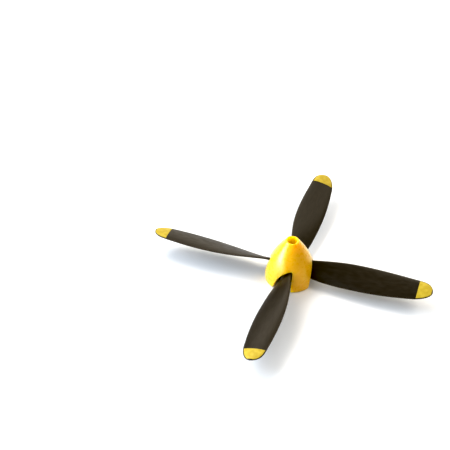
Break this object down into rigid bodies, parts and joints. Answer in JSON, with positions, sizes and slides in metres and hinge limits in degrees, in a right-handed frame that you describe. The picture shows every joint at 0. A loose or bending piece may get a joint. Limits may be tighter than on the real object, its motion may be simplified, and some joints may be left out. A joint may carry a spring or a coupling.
{
  "type": "model aeroplane propeller with spinner",
  "caption": "Moulded model aeroplane propeller with yellow tips and an ogive spinner, on a metal adapter held by one screw through the nose.",
  "frame": {"origin": "centre of the adapter's rear face on the shaft's axis, level with what the part stands on", "axes": "+Z along the shaft towards the spinner's nose, which is forwards in flight; +X along blade 1; +Y along blade 2"},
  "size_m": [0.13, 0.13, 0.0217],
  "materials": {
    "spinner_yellow": "glossy golden yellow moulded plastic, slightly translucent",
    "blade_black": "semi-matte dark charcoal glass-filled nylon with a faint sheen",
    "tip_yellow": "thin yellow pad-printed film, slightly mottled",
    "adapter_alloy": "turned aluminium, bare",
    "screw_steel": "plated steel"
  },
  "bodies": {
    "adapter": {"prop_adapter": "adapter_alloy"},
    "rotor": {"rotor_hub": "blade_black", "blade_1": "blade_black", "blade_2": "blade_black", "blade_3": "blade_black", "blade_4": "blade_black", "tip_film_1": "tip_yellow", "tip_film_2": "tip_yellow", "tip_film_3": "tip_yellow", "tip_film_4": "tip_yellow"},
    "spinner": {"spinner_shell": "spinner_yellow", "screw_washer": "screw_steel", "retaining_screw": "screw_steel"}
  },
  "joints": [
    {"name": "spin", "type": "hinge", "parent": "adapter", "child": "rotor", "pos_m": [0, 0, 0], "axis": [0, 0, 1], "continuous": true},
    {"name": "spinner_lift", "type": "slide", "parent": "rotor", "child": "spinner", "axis": [0, 0, 1], "range_m": [0, 0.018]}
  ]
}
